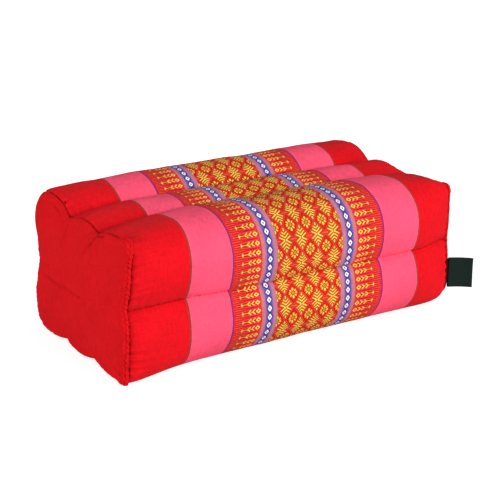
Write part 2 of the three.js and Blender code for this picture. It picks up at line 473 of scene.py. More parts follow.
# %% [markdown]
# ## Gathers, puckers and soft lumps
# A sewn cushion is never smooth. The wrap is eased onto the end panels, so short gathers
# run in from both seams. Each channel is pulled down by its stitches, and the cloth beside
# it puckers. The filling itself leaves wide, low lumps. All of these are small moves of the
# points along their normals, worked out from how far along and how far round the cloth a
# point is.

# %% A smooth random surface
NOISE_CELLS = 512


def soft_noise(across, up, cell_across, cell_up, seed, period_up=None):
    """Random heights from -1 to 1 on a grid of cells, joined by smooth curves."""
    random = np.random.default_rng(seed)
    u, v = across / cell_across, up / cell_up
    low_u, low_v = np.floor(u).astype(int), np.floor(v).astype(int)
    fu, fv = u - low_u, v - low_v
    fu, fv = fu * fu * (3 - 2 * fu), fv * fv * (3 - 2 * fv)
    rows = int(round(period_up / cell_up)) if period_up else NOISE_CELLS
    heights = random.uniform(-1, 1, (NOISE_CELLS, rows))

    def at(du, dv):
        return heights[(low_u + du) % NOISE_CELLS, (low_v + dv) % rows]

    low = at(0, 0) * (1 - fu) + at(1, 0) * fu
    high = at(0, 1) * (1 - fu) + at(1, 1) * fu
    return low * (1 - fv) + high * fv


# %% Press the folds into the wrap
GATHER_PITCH = 8.0
GATHER_HEIGHT = 1.6
GATHER_REACH = 13
PLAIN_GATHER = 0.25
RIGHT_END_SHARE = 0.45
TUCK_DEPTH = 0.8
TUCK_WIDTH = 2.2
SLACK_REACH = 6
CREASE_DEPTH = 2.4
CREASE_WIDTH = 1.1
HOLLOW_DEPTH = 1.3
HOLLOW_WIDTH = 4.5
PUCKER_PITCH = 9.0
PUCKER_HEIGHT = 0.35
PUCKER_REACH = 7
# where round the block the cloth is gathered most, how far that spreads and how strongly
GATHER_ZONES = ((100, 12, 0.5), (500, 22, 0.9), (438, 24, 0.9), (160, 30, 0.5), (210, 25, 0.5))
# the corners where the panel is sewn in slack: which end, how far round, how much is eased in
# and over what length of the seam
SLACK_CORNERS = (
    (-1, 109, 1.5, 15.0),
    (-1, 70, 2.4, 13.0),
    (-1, 412, 2.2, 12.0),
    (1, 109, 2.4, 15.0),
    (1, 540, 1.0, 15.0),
    (1, 409, 5.5, 13.0),
)
# small dimples: how far along and round, how wide and how deep
DIMPLES = (
    (-172.1, 66.0, 2.2, 2.6),
    (-173.5, 597.0, 2.2, 2.0),
    (-173.5, 48.5, 2.2, 1.6),
    (173.5, 0.0, 2.2, 1.8),
    (173.5, 49.0, 2.2, 1.6),
)
# fuller places: how far along and round, how far that spreads each way and how high
SWELLS = ((160.0, 26.0, 24.0, 15.0, 3.2),)
# how far the front channel sags towards the left end, from where, and over what girth
SAG_DEPTH = 3.6
SAG_START = 125.0
SAG_GIRTH = 28.0


def gather_share(around):
    share = np.zeros_like(around)
    for centre, spread, strength in GATHER_ZONES:
        share = np.maximum(share, strength * np.exp(-(((around - centre) / spread) ** 2)))
    return share


def dimple_depth(along, around):
    depth = np.zeros_like(around)
    for x, centre, width, deep in DIMPLES:
        away = np.hypot(along - x, around - centre) / width
        depth += deep * (np.exp(-(away**2)) - 0.3 * np.exp(-((away - 1.9) ** 2)))
    return depth


def swell_height(along, around):
    height = np.zeros_like(around)
    for x, centre, reach_along, reach_round, rise in SWELLS:
        away = np.hypot((along - x) / reach_along, (around - centre) / reach_round)
        height += rise * np.exp(-(away**2))
    return height


def slack_at(side, around):
    """How much of the wrap is eased in beside an end, in mm."""
    slack = np.zeros_like(around)
    for end, centre, eased, spread in SLACK_CORNERS:
        slack += eased * np.exp(-(((around - centre) / spread) ** 2)) * (end == side)
    return slack


def wrap_relief(along, around):
    """The height of the folds over the plain skin, in mm."""

    def noise(cell_along, cell_round, seed):
        return soft_noise(along + 400, around, cell_along, cell_round, seed, GIRTH)

    def noise_by_end(cell_round, seed):
        return soft_noise(np.sign(along) * 700 + 900, around, 40, cell_round, seed, GIRTH)

    on_left = along < 0
    lumps = 0.7 * noise(34, 30, 1) + 0.3 * noise(13, 12, 2)
    from_seam = np.maximum(HALF - np.abs(along), 0)
    reach = GATHER_REACH + 8 * noise_by_end(15, 3)
    strength = np.maximum(0.75 + 0.6 * noise_by_end(25, 4), 0)
    strength *= (PLAIN_GATHER + gather_share(around)) * np.where(on_left, 1, RIGHT_END_SHARE)
    waves = np.cos(2 * math.pi * (around + 2.6 * noise(30, 10, 5)) / GATHER_PITCH)
    gathers = GATHER_HEIGHT * strength * waves * np.exp(-from_seam / np.maximum(reach, 4))
    on_front = np.exp(-(((around - 480) / 60) ** 4))
    tuck = TUCK_DEPTH * on_left * (1 + on_front) * np.exp(-((from_seam / TUCK_WIDTH) ** 2))
    tuck += slack_at(np.sign(along), around) * np.exp(-from_seam / SLACK_REACH)
    beside = to_nearest_channel(around)
    channel_pull = CREASE_DEPTH * np.exp(-((beside / CREASE_WIDTH) ** 2))
    channel_pull += HOLLOW_DEPTH * np.exp(-beside / HOLLOW_WIDTH)
    puckers = np.cos(2 * math.pi * (along + 2.5 * noise(17, 100, 6)) / PUCKER_PITCH)
    puckers *= PUCKER_HEIGHT * np.exp(-beside / PUCKER_REACH) * (1 + 0.6 * noise(25, 50, 7))
    inside = np.clip(from_seam / 3, 0, 1)
    raised = lumps * np.clip(from_seam / 20, 0, 1) + gathers + swell_height(along, around)
    sunk = tuck + dimple_depth(along, around) + (channel_pull - puckers) * inside
    return raised - sunk


SKIN_REACH = 8
CAP_RADIUS = 50
RESTING_REACH = 4


def press_folds():
    along, around = cloth_places(wrap)
    places = vertex_array(wrap)
    normals = vertex_array(wrap, "normal")
    on_skin = np.abs(places[:, 0]) < (HALF + SKIN_REACH) * MM
    on_skin &= np.hypot(places[:, 1], places[:, 2] - SIDE_CHANNEL_HEIGHT * MM) > CAP_RADIUS * MM
    relief = np.where(on_skin, wrap_relief(along, around), 0)
    resting = np.clip(places[:, 2] / MM / RESTING_REACH, 0, 1)
    places += normals * (relief * resting)[:, None] * MM
    sag = SAG_DEPTH * np.clip((-along - SAG_START) / (HALF - SAG_START), 0, 1)
    places[:, 2] -= sag * np.exp(-(((around - ROLL_STARTS[5]) / SAG_GIRTH) ** 2)) * on_skin * MM
    places[:, 2] = np.maximum(places[:, 2], 0)
    set_vertices(wrap, places)
    return relief.min(), relief.max()


print("folds from and to, in mm:", [round(float(value), 1) for value in press_folds()])

# %% [markdown]
# ## The end panels
# Each end is a flat piece of plain cloth, cut to the shape of the end and sewn on all
# round. The seam allowance is pinched outwards and topstitched, so a narrow wavy ridge
# with a groove along it frames the panel. The panel starts as a ring of points on the seam,
# and each further ring is extruded and set to its place: first over the ridge and then
# across the panel to its middle.

# %% The seam line round an end
RIM_STEPS = 480
LOWEST_EDGE = 0.8
SCALLOP = 0.7
SCALLOP_PITCH = 5.0
TANGENT_STEPS = 3
SMOOTHING_ROUNDS = 4
END_NAMES = {-1: "left", 1: "right"}


def seam_line(side):
    """Points round the end seam with the directions that point out of the block, in mm."""
    row = section_at(side * HALF)
    points = np.array([wrapped_point(row, GIRTH * step / RIM_STEPS) for step in range(RIM_STEPS)])
    along_seam = np.roll(points, -TANGENT_STEPS, axis=0) - np.roll(points, TANGENT_STEPS, axis=0)
    outward = np.column_stack([along_seam[:, 1], -along_seam[:, 0]])
    outward /= np.linalg.norm(outward, axis=1, keepdims=True)
    if (outward * (points - points.mean(axis=0))).sum() < 0:
        outward = -outward
    for _ in range(SMOOTHING_ROUNDS):
        outward = outward + np.roll(outward, 1, axis=0) + np.roll(outward, -1, axis=0)
        outward /= np.linalg.norm(outward, axis=1, keepdims=True)
    return points, outward


for side in END_NAMES:
    points, _ = seam_line(side)
    wide, high = (round(float(size)) for size in np.ptp(points, axis=0))
    print(END_NAMES[side], "seam is", wide, "by", high, "mm")

# %% The rows of the ridge and the creases of the panels
# how far inside the seam line and how far out: where the seam is pinched up, and where it
# lies flush, and how much the row waves
RIM_ROWS = (
    (-0.4, -0.3, 1.4, -0.8, 0.1),
    (-1.3, 0.1, 0.8, -0.4, 0.5),
    (-1.8, 0.8, 0.5, 0.0, 1.0),
    (-1.5, 1.5, 0.5, 0.4, 1.0),
    (-0.8, 1.5, 0.7, 0.7, 0.9),
    (-0.2, 1.0, 1.0, 1.0, 0.8),
    (0.1, 1.8, 1.3, 1.2, 0.9),
    (0.3, 2.7, 1.7, 1.4, 1.2),
    (0.9, 3.1, 2.3, 1.5, 1.3),
    (1.5, 2.7, 3.1, 1.5, 1.2),
    (2.1, 1.6, 4.0, 1.4, 0.8),
    (3.1, 0.8, 5.0, 1.3, 0.4),
    (6.4, 0.6, 6.4, 1.0, 0.2),
)
PANEL_HALF_HEIGHT = 62
OUTER_SHARES = tuple(1 - 0.016 * step for step in range(1, 17))
INNER_SHARES = tuple(0.7 - 0.04 * step for step in range(17))
PANEL_SHARES = OUTER_SHARES + INNER_SHARES
# y and z where a crease starts and ends, how high it stands, and how wide it is on its
# right and on its left, seen along its run from outside the left end
CREASES = {
    "left": (
        (68, 60, -17, 58, 3.2, 10.0, 1.8),
        (70, 57.5, -20, 55.5, -3.6, 1.7, 1.7),
        (-36, 118, -20, 101, 2.8, 1.6, 7.0),
        (-35, 119, -18, 100, -3.6, 1.7, 1.7),
        (-44, 119, -36, 117, -2.6, 1.8, 1.8),
        (26, 116, 22, 100, 1.0, 5.0, 2.0),
        (-84, 66, -50, 60, 1.0, 7.0, 2.5),
        (60, 26, 20, 16, 0.9, 6.0, 3.0),
    ),
    "right": (
        (84, 66, 30, 60, 1.3, 8.0, 2.0),
        (-26, 116, -14, 94, 1.2, 5.0, 2.0),
        (-84, 66, -48, 58, 1.2, 8.0, 2.0),
        (38, 116, 32, 98, 1.0, 5.0, 2.0),
    ),
}


def crease_height(name, y, z):
    height = np.zeros_like(y)
    for y0, z0, y1, z1, rise, right_width, left_width in CREASES[name]:
        run = np.array([y1 - y0, z1 - z0])
        share = ((y - y0) * run[0] + (z - z0) * run[1]) / (run @ run)
        held = np.clip(share, 0, 1)
        away = np.hypot(y - y0 - held * run[0], z - z0 - held * run[1])
        on_left = run[0] * (z - z0) - run[1] * (y - y0) > 0
        width = np.where(on_left, left_width, right_width)
        height += rise * (1 - 0.65 * held) * np.exp(-((away / width) ** 2))
    return height


# where an end bulges more: y and z of the middle, how far it spreads and how much
BULGES = {
    "left": ((78, 108, 20, 4.2), (72, 34, 20, 2.4)),
    "right": ((-60, 98, 24, 1.5), (-58, 34, 24, 1.5)),
}


def bulge_height(name, y, z):
    height = np.zeros_like(y)
    for middle_y, middle_z, spread, rise in BULGES[name]:
        height += rise * np.exp(-((y - middle_y) ** 2 + (z - middle_z) ** 2) / spread**2)
    return height


print("rings in a panel:", len(RIM_ROWS) + len(PANEL_SHARES))

# %% Where the seam is pinched into a ridge
FRONT_PINCH = {-1: 1.0, 1: 0.35}
FOOT_PINCH = 0.4
BACK_PINCH = 0.3


def fade(value, start, end):
    """0 up to the start, 1 from the end on, and even in between."""
    return np.clip((value - start) / (end - start), 0, 1)


def pinch_share(side, points):
    """1 where the seam stands up as a ridge, 0 where it lies flush."""
    y, z = points[:, 0], points[:, 1]
    front = FRONT_PINCH[side] * fade(-y, 70, 82)
    foot = FOOT_PINCH * (1 - fade(z, 8, 22))
    back = BACK_PINCH * fade(y, 70, 82) * (1 - fade(z, 80, 100))
    return np.maximum(np.maximum(front, foot), back)


for side in END_NAMES:
    print(END_NAMES[side], "ridge on average:", round(pinch_share(side, seam_line(side)[0]).mean(), 2))


# %% Build both panels
PANEL_LIFT = 0.9
PANEL_CLOTH = 0.6
SLACK_SMOOTHING = 25


def panel_rings(side):
    """Every ring of the panel, from under the ridge to the middle, as places in mm."""
    points, outward = seam_line(side)
    step = np.arange(RIM_STEPS) * GIRTH / RIM_STEPS

    def noise(cell, seed):
        return soft_noise(np.full(RIM_STEPS, 3.0), step, 10, cell, seed + side, GIRTH)

    wave = 0.7 * noise(3.0, 20) + 0.4 * noise(7.5, 30)
    tuck = 0.8 * noise(5.0, 40)
    slack = slack_at(side, step)
    pinch = pinch_share(side, points)
    rings = []
    for row, (high_inset, high_lift, flush_inset, flush_lift, waviness) in enumerate(RIM_ROWS):
        inset = flush_inset + (high_inset - flush_inset) * pinch
        lift = flush_lift + (high_lift - flush_lift) * pinch
        waving = waviness * (0.25 + 0.75 * pinch)
        turn = 2 * math.pi * (step + 2 * tuck) / SCALLOP_PITCH + 0.7 * row
        scallop = SCALLOP * waviness * pinch * np.sin(turn)
        ring = points - outward * (inset + tuck * waving + slack + 0.7 * scallop)[:, None]
        share = 1 - np.maximum(inset, 0) / PANEL_HALF_HEIGHT
        shifted = np.roll(wave, 2 * row)
        rings.append((ring, lift + shifted * waving + scallop - 0.6 * slack, share))
    last_inset = RIM_ROWS[-1][0]
    last = points - outward * (last_inset + slack)[:, None]
    evenly = np.ones(SLACK_SMOOTHING) / SLACK_SMOOTHING
    smoothed = np.convolve(np.tile(slack, 3), evenly, "same")[RIM_STEPS:2 * RIM_STEPS]
    last = last + outward * (slack - smoothed)[:, None]
    for share in PANEL_SHARES:
        ring = last * share + np.array([0, SIDE_CHANNEL_HEIGHT]) * (1 - share)
        lift = np.full(RIM_STEPS, PANEL_LIFT)
        rings.append((ring, lift, share * (1 - last_inset / PANEL_HALF_HEIGHT)))
    return rings


def build_panel(side):
    name = END_NAMES[side]
    deselect_all()
    bpy.ops.mesh.primitive_circle_add(vertices=RIM_STEPS, radius=0.1, fill_type="NOTHING")
    panel = bpy.context.object
    panel.name = f"end_cloth_{name}"
    for index, (ring, lift, share) in enumerate(panel_rings(side)):
        edit_only(panel)
        bpy.ops.mesh.select_mode(type="EDGE")
        if index == 0:
            bpy.ops.mesh.select_all(action="SELECT")
        else:
            bpy.ops.mesh.extrude_edges_move()
        mesh = bmesh.from_edit_mesh(panel.data)
        chosen = [vertex for vertex in mesh.verts if vertex.select]
        ring_y, ring_z = ring[:, 0], np.maximum(ring[:, 1], LOWEST_EDGE)
        creases = crease_height(name, ring_y, ring_z) * np.clip((1 - share) * 8, 0, 1)
        lumps = 0.7 * soft_noise(ring_y + 300, ring_z + 300, 38, 38, 50 + side) * (1 - share**4)
        lumps += bulge_height(name, ring_y, ring_z) * np.clip((1 - share) * 16, 0, 1)
        swell = crown_at(share) + lift + creases + lumps
        for vertex, y, z, out in zip(chosen, ring_y, ring_z, swell):
            vertex.co = ((side * (HALF + out) + shift_at(side * HALF, z)) * MM, y * MM, z * MM)
        bpy.ops.object.mode_set(mode="OBJECT")
    edit_only(panel)
    bpy.ops.mesh.edge_face_add()
    bpy.ops.mesh.poke()
    face_outwards()
    centre = [face for face in panel.data.polygons if face.center.y ** 2 < 1e-4]
    if centre and centre[0].normal.x * side < 0:
        panel.data.flip_normals()
    finish_with(panel, "SOLIDIFY", thickness=PANEL_CLOTH * MM, offset=-1)
    return panel


panels = {side: build_panel(side) for side in END_NAMES}
for side, panel in panels.items():
    print(panel.name, len(panel.data.polygons), "faces")

# %% [markdown]
# ## The tag
# A short ribbon is folded in half and caught in the right-hand seam, so that its two
# layers lie together and the fold hangs free. It is modelled as one strip that runs out
# from the seam, turns round the fold and runs back, with a slight bow from hanging.

# %% Fold a ribbon into the tag
TAG_HEIGHT = 29.8
TAG_REACH = 24.6
TAG_ROOT = -1.6
TAG_FOOT = 19.4
TAG_GAP = 0.75
TAG_TURN = -0.3
TAG_DROOP = -0.12
TAG_BOW = 1.2
TAG_TWIST = 0.5
TAG_TAPE = 0.4
TAG_PAST_END = 0.6
TAG_PAST_FRONT = 3.2


def tag_profile():
    """The folded strip seen from above: how far out and how far aside, in mm."""
    steps = np.linspace(TAG_ROOT, TAG_REACH, 15)
    out = [(reach, -TAG_GAP) for reach in steps]
    bend = [
        (TAG_REACH + TAG_GAP * math.cos(angle), TAG_GAP * math.sin(angle))
        for angle in np.linspace(-math.pi / 2, math.pi / 2, 7)[1:-1]
    ]
    back = [(reach, TAG_GAP) for reach in reversed(steps)]
    strip = out + bend + back
    bows = [TAG_BOW * math.sin(math.pi * min(reach / TAG_REACH, 1)) for reach, _ in strip]
    return [(reach, aside + bow) for (reach, aside), bow in zip(strip, bows)]


def build_tag():
    end_row = section_at(HALF)
    end_x = HALF + shift_at(HALF, TAG_FOOT + TAG_HEIGHT / 2)
    root = (end_x + TAG_PAST_END, -(end_row["half"] + TAG_PAST_FRONT), TAG_FOOT)
    profile = tag_profile()
    deselect_all()
    bpy.ops.mesh.primitive_grid_add(
        x_subdivisions=len(profile) - 1, y_subdivisions=18, size=1, calc_uvs=True
    )
    tag = bpy.context.object
    tag.name = "folded_tag"
    tag.data.uv_layers[0].name = "cloth"
    for vertex in tag.data.vertices:
        reach, aside = profile[round((vertex.co.x + 0.5) * (len(profile) - 1))]
        up = (vertex.co.y + 0.5) * TAG_HEIGHT
        aside += TAG_TWIST * math.sin(up / TAG_HEIGHT * 2.6) * reach / TAG_REACH
        x = reach * math.cos(TAG_DROOP)
        z = up + reach * math.sin(TAG_DROOP)
        vertex.co = (
            (root[0] + x * math.cos(TAG_TURN) - aside * math.sin(TAG_TURN)) * MM,
            (root[1] + x * math.sin(TAG_TURN) + aside * math.cos(TAG_TURN)) * MM,
            (root[2] + z) * MM,
        )
    edit_only(tag)
    face_outwards()
    finish_with(tag, "SOLIDIFY", thickness=TAG_TAPE * MM, offset=0)
    return tag


tag = build_tag()
print("tag size in mm:", [round(value / MM, 1) for value in tag.dimensions])

# %% [markdown]
# ## Running stitches
# A thread in the cloth's own red runs along the bottom of every channel. One stitch is a
# short round thread that dips at both ends. It is modelled once and copied along each
# channel, onto the finished cloth.

# %% Sew along the channels
STITCH_LENGTH = 3.4
STITCH_PITCH = 5.0
THREAD_RADIUS = 0.33
STITCH_BEND = 0.8
STITCH_DIP = 0.5
STITCH_LIFT = 0.25


def model_stitch():
    deselect_all()
    bpy.ops.mesh.primitive_cylinder_add(
        vertices=6, radius=THREAD_RADIUS * MM, depth=STITCH_LENGTH * MM, rotation=(0, math.pi / 2, 0)
    )
    stitch = bpy.context.object
    bpy.ops.object.transform_apply(location=True, rotation=True, scale=True)
    bpy.ops.object.mode_set(mode="EDIT")
    for bend in (-STITCH_BEND, STITCH_BEND):
        bpy.ops.mesh.select_all(action="SELECT")
        bpy.ops.mesh.bisect(plane_co=(bend * MM, 0, 0), plane_no=(1, 0, 0))
    bpy.ops.object.mode_set(mode="OBJECT")
    for vertex in stitch.data.vertices:
        share = abs(vertex.co.x) / (STITCH_LENGTH / 2 * MM)
        vertex.co.z -= STITCH_DIP * MM * share**2
    return stitch


def stitch_places():
    """Places along every channel, with the normal of the cloth there."""
    along, around = cloth_places(wrap)
    places = vertex_array(wrap)
    normals = vertex_array(wrap, "normal")
    found = []
    for start in ROLL_STARTS[:-1]:
        near = np.nonzero((np.abs(around - start) < 0.6) | (np.abs(around - start - GIRTH) < 0.6))[0]
        near = near[np.abs(along[near]) < HALF - 1]
        near = near[np.argsort(along[near])]
        for x in np.arange(-HALF + 6, HALF - 5, STITCH_PITCH):
            index = near[np.argmin(np.abs(along[near] - x))]
            found.append((places[index], normals[index]))
    return found


stitch = model_stitch()
shape = vertex_array(stitch)
faces = [list(face.vertices) for face in stitch.data.polygons]
all_places, all_faces = [], []
for place, normal in stitch_places():
    up = normal - np.array([normal[0], 0, 0])
    up /= max(np.linalg.norm(up), 1e-6)
    aside = np.cross(up, (1, 0, 0))
    count = len(all_places) * len(shape)
    lifted = place + up * STITCH_LIFT * MM
    turned = shape[:, :1] * np.array([[1, 0, 0]]) + shape[:, 1:2] * aside + shape[:, 2:] * up
    all_places.append(lifted + turned)
    all_faces += [[corner + count for corner in face] for face in faces]
stitch_mesh = bpy.data.meshes.new("channel_stitches")
stitch_mesh.from_pydata(np.concatenate(all_places).tolist(), [], all_faces)
stitches = bpy.data.objects.new("channel_stitches", stitch_mesh)
bpy.context.collection.objects.link(stitches)
bpy.data.objects.remove(stitch)
print("stitches:", len(all_places))

# %% Shade every piece smooth
for piece in (wrap, stitches, tag, *panels.values()):
    make_active(piece)
    bpy.ops.object.shade_smooth()
print("smooth shading on", 3 + len(panels), "pieces")

# %% [markdown]
# ## Materials
# The pattern is woven, so it is worked out as a weaver would chart it: stripes across the
# length of the cloth, and small motifs that repeat round it. The motifs are made of short
# bars of coloured thread. A short table lists the bars of each motif, and one helper turns
# each line of the table into nodes.

# %% Helpers for nodes
def rgb(red, green, blue):
    """A colour in screen values, 0 to 255, as the linear values that shaders use."""
    values = [value / 255 for value in (red, green, blue)]
    return tuple(v / 12.92 if v <= 0.04045 else ((v + 0.055) / 1.055) ** 2.4 for v in values) + (1.0,)


def place_inputs(tree, node, inputs):
    for socket, value in inputs:
        if isinstance(value, bpy.types.NodeSocket):
            tree.links.new(value, socket)
        else:
            socket.default_value = value


def math_node(tree, operation, *values, clamp=False):
    node = tree.nodes.new("ShaderNodeMath")
    node.operation = operation
    node.use_clamp = clamp
    place_inputs(tree, node, zip(node.inputs, values))
    return node.outputs[0]


def vector_node(tree, operation, *values):
    node = tree.nodes.new("ShaderNodeVectorMath")
    node.operation = operation
    place_inputs(tree, node, zip(node.inputs, values))
    return node.outputs["Value"] if operation in ("DOT_PRODUCT", "LENGTH") else node.outputs["Vector"]


def pair_node(tree, x, y):
    node = tree.nodes.new("ShaderNodeCombineXYZ")
    place_inputs(tree, node, ((node.inputs["X"], x), (node.inputs["Y"], y)))
    return node.outputs["Vector"]


def mix_node(tree, mask, low, high, blend="MIX"):
    node = tree.nodes.new("ShaderNodeMix")
    node.data_type = "RGBA"
    node.blend_type = blend
    place_inputs(tree, node, ((node.inputs[0], mask), (node.inputs[6], low), (node.inputs[7], high)))
    return node.outputs[2]


def below(tree, value, edge, softness):
    """A mask that is 1 where the value is under the edge, with a soft step."""
    node = tree.nodes.new("ShaderNodeMapRange")
    node.inputs["From Min"].default_value = edge + softness
    node.inputs["From Max"].default_value = edge - softness
    tree.links.new(value, node.inputs["Value"])
    return node.outputs["Result"]


def inverse(tree, mask):
    return math_node(tree, "SUBTRACT", 1.0, mask)


def stripes_node(tree, value, stops):
    """Stripes of plain colour: each stop gives where a stripe starts and its colour."""
    node = tree.nodes.new("ShaderNodeValToRGB")
    ramp = node.color_ramp
    ramp.interpolation = "CONSTANT"
    while len(ramp.elements) > 1:
        ramp.elements.remove(ramp.elements[-1])
    ramp.elements[0].position, ramp.elements[0].color = stops[0]
    for position, colour in stops[1:]:
        ramp.elements.new(position).color = colour
    tree.links.new(value, node.inputs["Fac"])
    return node.outputs["Color"]


print("node helpers ready")

# %% The colours of the threads
THREADS = {
    "red": rgb(218, 14, 26),
    "bright": rgb(208, 34, 20),
    "maroon": rgb(156, 22, 8),
    "flame": rgb(226, 70, 40),
    "salmon": rgb(236, 92, 70),
    "yellow": rgb(252, 204, 88),
    "gold": rgb(232, 164, 44),
    "brown": rgb(154, 74, 0),
    "blush": rgb(255, 190, 160),
    "lavender": rgb(156, 122, 152),
    "orange": rgb(220, 108, 76),
    "violet": rgb(112, 84, 164),
    "lilac": rgb(138, 112, 180),
    "navy": rgb(58, 44, 112),
    "white": rgb(244, 240, 252),
    "purple": rgb(112, 44, 118),
    "pink": rgb(250, 82, 114),
    "olive": rgb(122, 66, 46),
    "crimson": rgb(232, 34, 66),
    # the colour below is no thread: it is painted shade, laid where the cloth folds and at the seams
    "fold_shade": rgb(140, 8, 14),
}
print("threads:", len(THREADS))

# %% The bars of each motif
# from x, y to x, y in mm, half as wide as this, and the colour of the thread
STAR_BARS = (
    (0.0, 0.0, 4.6, 2.5, 1.2, "brown"),
    (0.0, 1.8, 3.4, 4.8, 1.2, "brown"),
    (0.0, 4.8, 2.0, 6.8, 1.2, "brown"),
    (0.0, 7.4, 0.0, 8.8, 1.25, "brown"),
    (0.9, 0.4, 4.9, 2.6, 0.56, "yellow"),
    (0.0, 2.3, 3.6, 5.1, 0.54, "yellow"),
    (0.0, 5.3, 2.4, 7.2, 0.5, "yellow"),
    (0.0, 8.3, 0.2, 8.9, 0.6, "yellow"),
    (0.0, 9.9, 0.1, 10.1, 0.45, "blush"),
    (5.1, 2.8, 5.4, 2.9, 0.45, "blush"),
)
ROSETTE_BARS = (
    (0.0, 0.0, 1.0, 0.8, 2.7, "brown"),
    (0.0, 2.4, 0.0, 4.2, 1.4, "brown"),
    (0.0, 3.4, 0.0, 4.5, 0.95, "yellow"),
    (1.9, 1.9, 3.0, 2.9, 0.6, "yellow"),
    (2.9, 0.5, 4.0, 0.7, 0.42, "yellow"),
    (0.0, 1.1, 1.0, 0.0, 0.32, "gold"),
)
# the short link between two stars of a row
LINK_BARS = (
    (0.0, 0.0, 2.4, 0.0, 1.3, "bright"),
    (0.0, 0.0, 3.0, 0.0, 0.5, "salmon"),
)
COMB_BARS = (
    (2.0, 0.0, 25.0, 0.0, 1.0, "maroon"),
    (2.4, 0.0, 4.5, 1.7, 0.55, "yellow"),
    (4.5, 1.7, 6.6, 0.0, 0.55, "yellow"),
    (4.5, 0.0, 4.6, 0.0, 0.7, "brown"),
    (8.2, 1.9, 10.4, 0.2, 0.52, "yellow"),
    (10.6, 0.0, 12.6, 0.0, 0.4, "gold"),
    (12.6, 1.8, 14.8, 0.2, 0.52, "yellow"),
    (15.0, 0.0, 19.5, 0.0, 0.38, "gold"),
    (20.0, 0.0, 22.0, 0.0, 0.45, "yellow"),
    (21.0, 0.0, 21.0, 1.1, 0.45, "yellow"),
    (22.0, 0.0, 27.0, 0.0, 0.4, "salmon"),
)
BAND_BARS = (
    (0.0, 4.4, 2.9, 0.0, 0.75, "navy"),
    (0.0, 0.0, 0.0, 1.6, 1.7, "navy"),
    (0.0, 2.3, 1.6, 0.0, 0.62, "white"),
    (0.0, 0.0, 0.1, 0.0, 0.5, "navy"),
)


def weave_bars(tree, colour, x, y, bars, mask=None, softness=0.16):
    """Lay the bars of one motif over a colour, in the order of the table."""
    place = pair_node(tree, x, y)
    for x0, y0, x1, y1, half_width, thread in bars:
        run = (x1 - x0, y1 - y0, 0)
        length = math.hypot(*run)
        from_start = vector_node(tree, "SUBTRACT", place, (x0, y0, 0))
        dot = vector_node(tree, "DOT_PRODUCT", from_start, run)
        share = math_node(tree, "MULTIPLY", dot, 1 / length**2, clamp=True)
        nearest = vector_node(tree, "MULTIPLY", run, pair_node(tree, share, share))
        away = vector_node(tree, "LENGTH", vector_node(tree, "SUBTRACT", from_start, nearest))
        covered = below(tree, away, half_width, softness)
        if mask is not None:
            covered = math_node(tree, "MULTIPLY", covered, mask)
        colour = mix_node(tree, covered, colour, THREADS[thread])
    return colour


MOTIFS = (STAR_BARS, ROSETTE_BARS, LINK_BARS, COMB_BARS, BAND_BARS)
print("bars to weave:", sum(len(bars) for bars in MOTIFS))

# %% [markdown]
# ## The weave
# Every cloth here has the same fine plain weave, so it is a node group that is built once.
# It takes a place on the cloth in millimetres and gives the height of the threads for the
# bump, and a shade that varies from thread to thread and in soft patches, as dyed cotton does.

# %% Build the weave group
THREAD_PITCH = 0.62
UNEVEN_SHARE = 0.38
PATCH_SHARE = 0.3
CROSSING_SHARE = 0.04
FUZZ_SHARE = 0.3
PLAIN_SHADE = 0.375


def build_weave_group():
    tree = bpy.data.node_groups.new("plain_weave", "ShaderNodeTree")
    tree.interface.new_socket("Place", in_out="INPUT", socket_type="NodeSocketVector")
    tree.interface.new_socket("Height", in_out="OUTPUT", socket_type="NodeSocketFloat")
    tree.interface.new_socket("Shade", in_out="OUTPUT", socket_type="NodeSocketFloat")
    start = tree.nodes.new("NodeGroupInput")
    end = tree.nodes.new("NodeGroupOutput")
    split = tree.nodes.new("ShaderNodeSeparateXYZ")
    tree.links.new(start.outputs["Place"], split.inputs[0])
    turn = 2 * math.pi / THREAD_PITCH
    warp = math_node(tree, "SINE", math_node(tree, "MULTIPLY", split.outputs["X"], turn))
    weft = math_node(tree, "SINE", math_node(tree, "MULTIPLY", split.outputs["Y"], turn))
    crossing = math_node(tree, "MULTIPLY", warp, weft)

    def noise(scale_x, scale_y, detail):
        stretch = vector_node(tree, "MULTIPLY", start.outputs["Place"], (scale_x, scale_y, 1))
        node = tree.nodes.new("ShaderNodeTexNoise")
        node.inputs["Scale"].default_value = 1.0
        node.inputs["Detail"].default_value = detail
        tree.links.new(stretch, node.inputs["Vector"])
        return node.outputs["Fac"]

    slubs_up = noise(0.5, 0.12, 2)
    slubs_along = noise(0.12, 0.6, 2)
    patches = noise(0.03, 0.03, 3)
    fuzz = noise(0.55, 0.55, 2)
    ribs = math_node(tree, "MULTIPLY", crossing, 0.5)
    uneven = math_node(tree, "ADD", slubs_up, math_node(tree, "MULTIPLY", slubs_along, 0.7))
    height = math_node(tree, "ADD", ribs, math_node(tree, "ADD", uneven, fuzz))
    shade = PLAIN_SHADE
    for value, share in (
        (uneven, UNEVEN_SHARE), (patches, PATCH_SHARE), (crossing, CROSSING_SHARE), (fuzz, FUZZ_SHARE)
    ):
        shade = math_node(tree, "MULTIPLY_ADD", value, share, shade)
    tree.links.new(height, end.inputs["Height"])
    tree.links.new(shade, end.inputs["Shade"])
    return tree


weave_group = build_weave_group()
print("weave group:", len(weave_group.nodes), "nodes")

# %% A cloth material with a weave
BUMP_HEIGHT = 0.22


